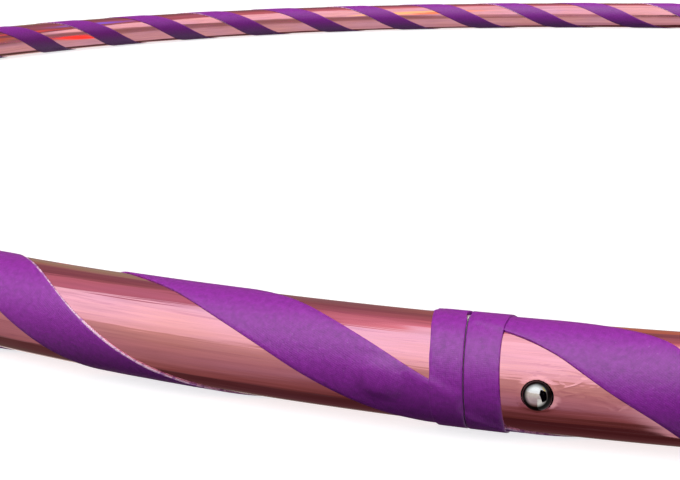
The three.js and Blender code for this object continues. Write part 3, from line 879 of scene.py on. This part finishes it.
# The low part of the back, by azimuth in degrees from straight behind the hoop.
LOW_BACK = [
    (0, (0.54, 0.24, 0.13)), (8, (0.44, 0.22, 0.16)), (16, (0.28, 0.17, 0.18)),
    (23, (0.26, 0.18, 0.18)), (27, (0.36, 0.34, 0.22)), (31, (0.36, 0.32, 0.21)),
    (35, (0.34, 0.17, 0.13)), (50, (0.34, 0.17, 0.13)),
]
LOW_BACK_MIDDLE = math.radians(13)
LOW_BACK_HALF = math.radians(11)
SIDE_SKY = sky_stops([
    (-90, (0.10, 0.09, 0.09)), (-60, (0.12, 0.10, 0.10)), (-46, (0.46, 0.40, 0.42)),
    (-20, (0.56, 0.48, 0.50)), (0, (0.52, 0.42, 0.44)), (12, (0.56, 0.46, 0.48)),
    (20, (0.98, 0.94, 0.98)), (80, (1.0, 1.0, 1.04)),
])
RIGHT_SKY = sky_stops([
    (-90, (0.50, 0.42, 0.42)), (-60, (0.64, 0.60, 0.58)), (-22, (0.62, 0.56, 0.54)),
    (-8, (0.36, 0.28, 0.26)), (12, (0.32, 0.24, 0.22)), (20, (0.50, 0.40, 0.40)),
    (28, (1.0, 0.95, 0.95)), (70, (1.05, 1.0, 1.0)), (80, (0.85, 0.80, 0.82)),
])
# Coloured lamps: azimuth, elevation, half width and half height in degrees, then colour.
LAMPS = [
    (159, 53, 18, 9, (0.53, 0.27, 0.33)),
    (23, -13, 3.2, 13, (1.35, 0.12, 0.08)), (50, 39, 7, 4, (0.75, 0.20, 0.16)),
    (66, 50, 10, 2.5, (0.35, 0.30, 1.3)), (-40, 40, 3.5, 16, (1.3, 0.65, 0.28)),
    (-31, 44, 5.5, 16, (1.35, 1.3, 0.50)),
]
LAMP_EDGE = 0.03  # radians
FRONT_TO_SIDE = (-1.46, -1.33)  # azimuth, radians
SIDE_TO_BACK = (-0.05, 0.05)  # northward part of the direction
SIDE_TO_RIGHT = (0.74, 0.66)  # radians from RIGHT_AZIMUTH
RIGHT_AZIMUTH = -0.07
RIGHT_NARROWS = (-0.05, -0.25)  # elevations between which the right part narrows
RIGHT_NARROWING = 0.80
LOW_BACK_WIDTH = 60  # degrees
SKY_WARP = 0.25
STREAK_TINTS = [
    (0.36, (0.84, 0.78, 0.84)), (0.46, (1, 0.98, 1)), (0.56, (1, 1, 1)), (0.68, (1.04, 1, 0.93)),
]


def sky_mix(tree, value, start, end, first, second):
    """One part of the sky into the next, where a value goes from start to end."""
    factor = add(tree, "ShaderNodeMapRange", {0: value, 1: start, 2: end}).outputs[0]
    return mix_colour(tree, factor, first, second)


def within(tree, value, middle, half_width):
    """A mask with soft edges: 1 where a value lies near the middle."""
    offset = math_node(tree, "ABSOLUTE", math_node(tree, "SUBTRACT", value, middle))
    sockets = {0: offset, 1: half_width + LAMP_EDGE, 2: half_width - LAMP_EDGE}
    return add(tree, "ShaderNodeMapRange", sockets).outputs[0]


def base_sky(tree, direction):
    """The sky's parts, mixed by direction, before streaks and lamps."""
    east, north, up = add(tree, "ShaderNodeSeparateXYZ", {0: direction}).outputs
    wide = vector_node(tree, "MULTIPLY", direction, (2.6, 2.6, 6))
    warp = math_node(tree, "SUBTRACT", noise(tree, wide, detail=4, roughness=0.6), 0.5)
    height = math_node(tree, "ADD", up, math_node(tree, "MULTIPLY", warp, SKY_WARP))
    place = math_node(tree, "MULTIPLY", math_node(tree, "ADD", height, 1.0), 0.5)
    azimuth = math_node(tree, "ARCTAN2", north, east)
    elevation = math_node(tree, "ARCSINE", up)
    front, side = ramp(tree, place, FRONT_SKY), ramp(tree, place, SIDE_SKY)
    sky = sky_mix(tree, azimuth, *FRONT_TO_SIDE, front, side)
    past_back = math_node(tree, "SUBTRACT", azimuth, HALF_TURN / 2)
    stops = [(degrees / LOW_BACK_WIDTH, colour) for degrees, colour in LOW_BACK]
    across_back = math_node(tree, "DIVIDE", past_back, math.radians(LOW_BACK_WIDTH))
    is_low = within(tree, elevation, LOW_BACK_MIDDLE, LOW_BACK_HALF)
    back = mix_colour(tree, is_low, ramp(tree, place, BACK_SKY), ramp(tree, across_back, stops))
    sky = sky_mix(tree, north, *SIDE_TO_BACK, sky, back)
    from_right = math_node(tree, "SUBTRACT", azimuth, RIGHT_AZIMUTH)
    from_right = math_node(tree, "ABSOLUTE", from_right)
    sockets = {0: elevation, 1: RIGHT_NARROWS[0], 2: RIGHT_NARROWS[1], 3: 0, 4: RIGHT_NARROWING}
    below = add(tree, "ShaderNodeMapRange", sockets).outputs[0]
    from_right = math_node(tree, "SUBTRACT", from_right, below)
    sky = sky_mix(tree, from_right, *SIDE_TO_RIGHT, sky, ramp(tree, place, RIGHT_SKY))
    return sky, azimuth, elevation


def make_world():
    world = bpy.data.worlds.new("studio")
    bpy.context.scene.world = world
    world.use_nodes = True
    tree = world.node_tree
    direction = add(tree, "ShaderNodeTexCoord").outputs["Generated"]
    sky, azimuth, elevation = base_sky(tree, direction)
    streaky = vector_node(tree, "MULTIPLY", direction, (3, 3, 30))
    streaks = noise(tree, streaky, detail=3, roughness=0.6)
    sky = mix_colour(tree, 1.0, sky, ramp(tree, streaks, STREAK_TINTS), "MULTIPLY")
    for lamp_azimuth, lamp_elevation, half_width, half_height, colour in LAMPS:
        across = within(tree, azimuth, math.radians(lamp_azimuth), math.radians(half_width))
        upwards = within(tree, elevation, math.radians(lamp_elevation), math.radians(half_height))
        sky = mix_colour(tree, math_node(tree, "MULTIPLY", across, upwards), sky, (*colour, 1))
    rays = add(tree, "ShaderNodeLightPath")
    sky = mix_colour(tree, rays.outputs["Is Diffuse Ray"], sky, softbox(tree, direction))
    sky = mix_colour(tree, rays.outputs["Is Camera Ray"], sky, (1, 1, 1, 1))
    tree.links.new(sky, tree.nodes["Background"].inputs[0])


SOFTBOX_DIRECTION = Vector((-0.06, -0.46, 0.885)).normalized()
SOFTBOX_LIGHT = (2.75, 2.7, 2.75)
SOFTBOX_EDGE = (0.72, 0.88)  # cosines of its outer and inner edge
DIM_LIGHT = (0.025, 0.008, 0.06)


def softbox(tree, direction):
    """What lights the cloth and the floor: a wide soft lamp above and in front of the hoop."""
    sockets = {0: direction, 1: SOFTBOX_DIRECTION}
    towards = add(tree, "ShaderNodeVectorMath", sockets, operation="DOT_PRODUCT").outputs["Value"]
    return sky_mix(tree, towards, *SOFTBOX_EDGE, (*DIM_LIGHT, 1), (*SOFTBOX_LIGHT, 1))


FLAG_AHEAD = 100 * MM  # of the ring's front
FLAG_OUTLINE = [(16, 24), (52, -65), (150, -65), (150, 90), (34, 90)]  # x and z in mm


def make_flag():
    """A small black card that gives the chrome button its dark side. Only mirrors see it."""
    front = -RING_RADIUS - FLAG_AHEAD
    mesh = bpy.data.meshes.new("flag")
    corners = [(x * MM, front, z * MM) for x, z in FLAG_OUTLINE]
    mesh.from_pydata(corners, [], [range(len(corners))])
    flag = bpy.data.objects.new("flag", mesh)
    bpy.context.scene.collection.objects.link(flag)
    material, _, shader = start_material("black_card")
    shader.inputs["Base Color"].default_value = (0.01, 0.01, 0.01, 1)
    shader.inputs["Roughness"].default_value = 1
    shader.inputs["Specular IOR Level"].default_value = 0
    mesh.materials.append(material)
    flag.visible_camera = False
    flag.visible_diffuse = False
    flag.visible_shadow = False


FLOOR_SIZE = 20
FLOOR_DARK = (0.50, 0.50, 0.50)
FLOOR_LIGHT = (0.52, 0.52, 0.52)
FLOOR_GLOW = 0.75


def make_floor():
    size = FLOOR_SIZE
    mesh = bpy.data.meshes.new("floor")
    corners = [(-size, -size, 0), (size, -size, 0), (size, size, 0), (-size, size, 0)]
    mesh.from_pydata(corners, [], [(0, 1, 2, 3)])
    floor = bpy.data.objects.new("floor", mesh)
    bpy.context.scene.collection.objects.link(floor)
    material, tree, shader = start_material("pale_floor")
    grain = noise(tree, stretched(tree, (300, 300, 300), "Object"), detail=2)
    colour = ramp(tree, grain, [(0.3, FLOOR_DARK), (0.7, FLOOR_LIGHT)])
    tree.links.new(colour, shader.inputs["Base Color"])
    shader.inputs["Roughness"].default_value = 0.9
    shader.inputs["Emission Color"].default_value = (1, 1, 1, 1)
    shader.inputs["Emission Strength"].default_value = FLOOR_GLOW
    mesh.materials.append(material)
    floor.visible_glossy = False
    floor.visible_diffuse = False


# The camera's place and turn were fitted to the real hoop's outline.
CAMERA_LENS = 70
SENSOR_WIDTH = 36
CAMERA_AZIMUTH = math.radians(-87.34)
CAMERA_DISTANCE = 665.8 * MM  # from the ring's axis
CAMERA_ABOVE_RING = 77.3 * MM
CAMERA_YAW = 0.257413
CAMERA_PITCH = 0.238515
CAMERA_ROLL = 0.00366


def make_camera():
    data = bpy.data.cameras.new("camera")
    data.lens = CAMERA_LENS
    data.sensor_width = SENSOR_WIDTH
    data.clip_start = 0.01
    camera = bpy.data.objects.new("camera", data)
    bpy.context.scene.collection.objects.link(camera)
    bpy.context.scene.camera = camera
    heading = CAMERA_AZIMUTH + math.pi + CAMERA_YAW
    forward = Vector((
        math.cos(heading) * math.cos(CAMERA_PITCH), math.sin(heading) * math.cos(CAMERA_PITCH),
        -math.sin(CAMERA_PITCH),
    ))
    level = forward.cross(Vector((0, 0, 1))).normalized()
    down = forward.cross(level)
    right = math.cos(CAMERA_ROLL) * level + math.sin(CAMERA_ROLL) * down
    up = math.sin(CAMERA_ROLL) * level - math.cos(CAMERA_ROLL) * down
    place = Vector((
        CAMERA_DISTANCE * math.cos(CAMERA_AZIMUTH), CAMERA_DISTANCE * math.sin(CAMERA_AZIMUTH),
        RING_HEIGHT + CAMERA_ABOVE_RING,
    ))
    turn = Matrix((right, up, -forward)).transposed()
    camera.matrix_world = Matrix.Translation(place) @ turn.to_4x4()


make_camera()
make_world()
make_floor()
make_flag()
bpy.context.scene.view_settings.view_transform = "Standard"

make_tube()
make_film_strip("film_a", "mirror_film_strip_a", 0.5, [(BUTTON_ALONG, FILM_HOLE_RADIUS)])
make_film_strip("film_b", "mirror_film_strip_b", 1.5, [])
make_grip_strip("grip_a", "grip_tape_strip_a", 0, 40, False, "edge_thread")
make_grip_strip("grip_b", "grip_tape_strip_b", 1, 50, True, "plain_edge")
make_seam_band("band_left", "seam_band_left", -1, 70)
make_seam_band("band_right", "seam_band_right", 1, 80)
make_insert()
make_button()
make_leaf_spring()
paint_cad_nodes()
